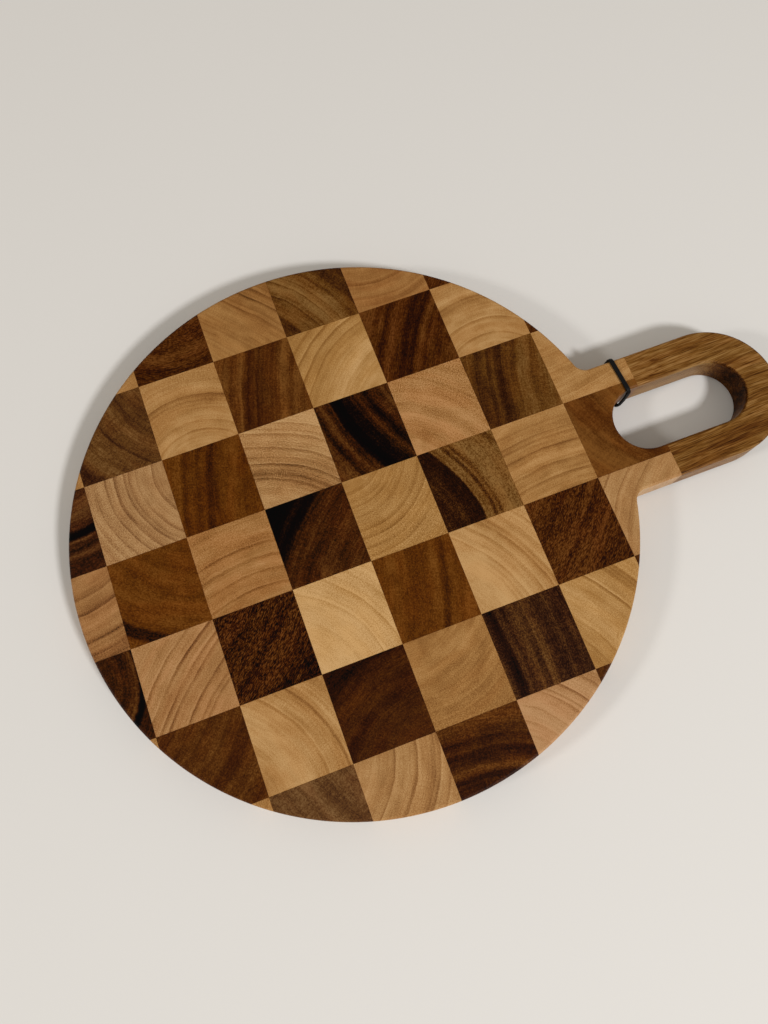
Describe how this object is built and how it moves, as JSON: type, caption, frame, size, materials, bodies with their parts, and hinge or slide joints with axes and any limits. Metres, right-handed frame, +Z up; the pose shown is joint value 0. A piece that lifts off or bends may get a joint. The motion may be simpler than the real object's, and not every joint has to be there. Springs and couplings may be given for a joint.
{
  "type": "round cutting board",
  "caption": "Round end-grain checkerboard cutting board with rounded edges, a loop handle with a long hand hole, and an elastic tie round one arm.",
  "frame": {"origin": "middle of the disc's underside", "axes": "+X from the disc to the handle, +Y to the arm that holds the tie, +Z up through the cutting face"},
  "size_m": [0.3965, 0.3, 0.0212],
  "materials": {
    "tan": "satin",
    "pink_tan": "satin",
    "yellow_tan": "satin",
    "red_brown": "satin",
    "mid_brown": "satin",
    "orange_brown": "satin",
    "olive_brown": "satin",
    "black_brown": "satin",
    "handle_wood": "satin",
    "elastic": "satin"
  },
  "bodies": {
    "root": {"light_block_a2": "tan", "dark_block_a3": "red_brown", "light_block_a4": "tan", "dark_block_a5": "olive_brown", "light_block_a6": "pink_tan", "dark_block_a7": "red_brown", "light_block_b1": "tan", "dark_block_b2": "olive_brown", "light_block_b3": "tan", "dark_block_b4": "mid_brown", "light_block_b5": "yellow_tan", "dark_block_b6": "red_brown", "light_block_b7": "tan", "dark_block_b8": "red_brown", "dark_block_c1": "black_brown", "light_block_c2": "tan", "dark_block_c3": "orange_brown", "light_block_c4": "tan", "dark_block_c5": "black_brown", "light_block_c6": "pink_tan", "dark_block_c7": "olive_brown", "light_block_c8": "tan", "light_block_d1": "pink_tan", "dark_block_d2": "orange_brown", "light_block_d3": "pink_tan", "dark_block_d4": "black_brown", "light_block_d5": "yellow_tan", "dark_block_d6": "olive_brown", "light_block_d7": "tan", "dark_block_d8": "mid_brown", "dark_block_e1": "black_brown", "light_block_e2": "pink_tan", "dark_block_e3": "red_brown", "light_block_e4": "yellow_tan", "dark_block_e5": "orange_brown", "light_block_e6": "tan", "dark_block_e7": "red_brown", "light_block_e8": "tan", "light_block_f1": "tan", "dark_block_f2": "mid_brown", "light_block_f3": "tan", "dark_block_f4": "mid_brown", "light_block_f5": "tan", "dark_block_f6": "olive_brown", "light_block_f7": "yellow_tan", "dark_block_f8": "mid_brown", "light_block_g2": "tan", "dark_block_g3": "olive_brown", "light_block_g4": "tan", "dark_block_g5": "mid_brown", "light_block_g6": "pink_tan", "dark_block_g7": "mid_brown", "handle": "handle_wood", "elastic_tie": "elastic"}
  },
  "joints": []
}
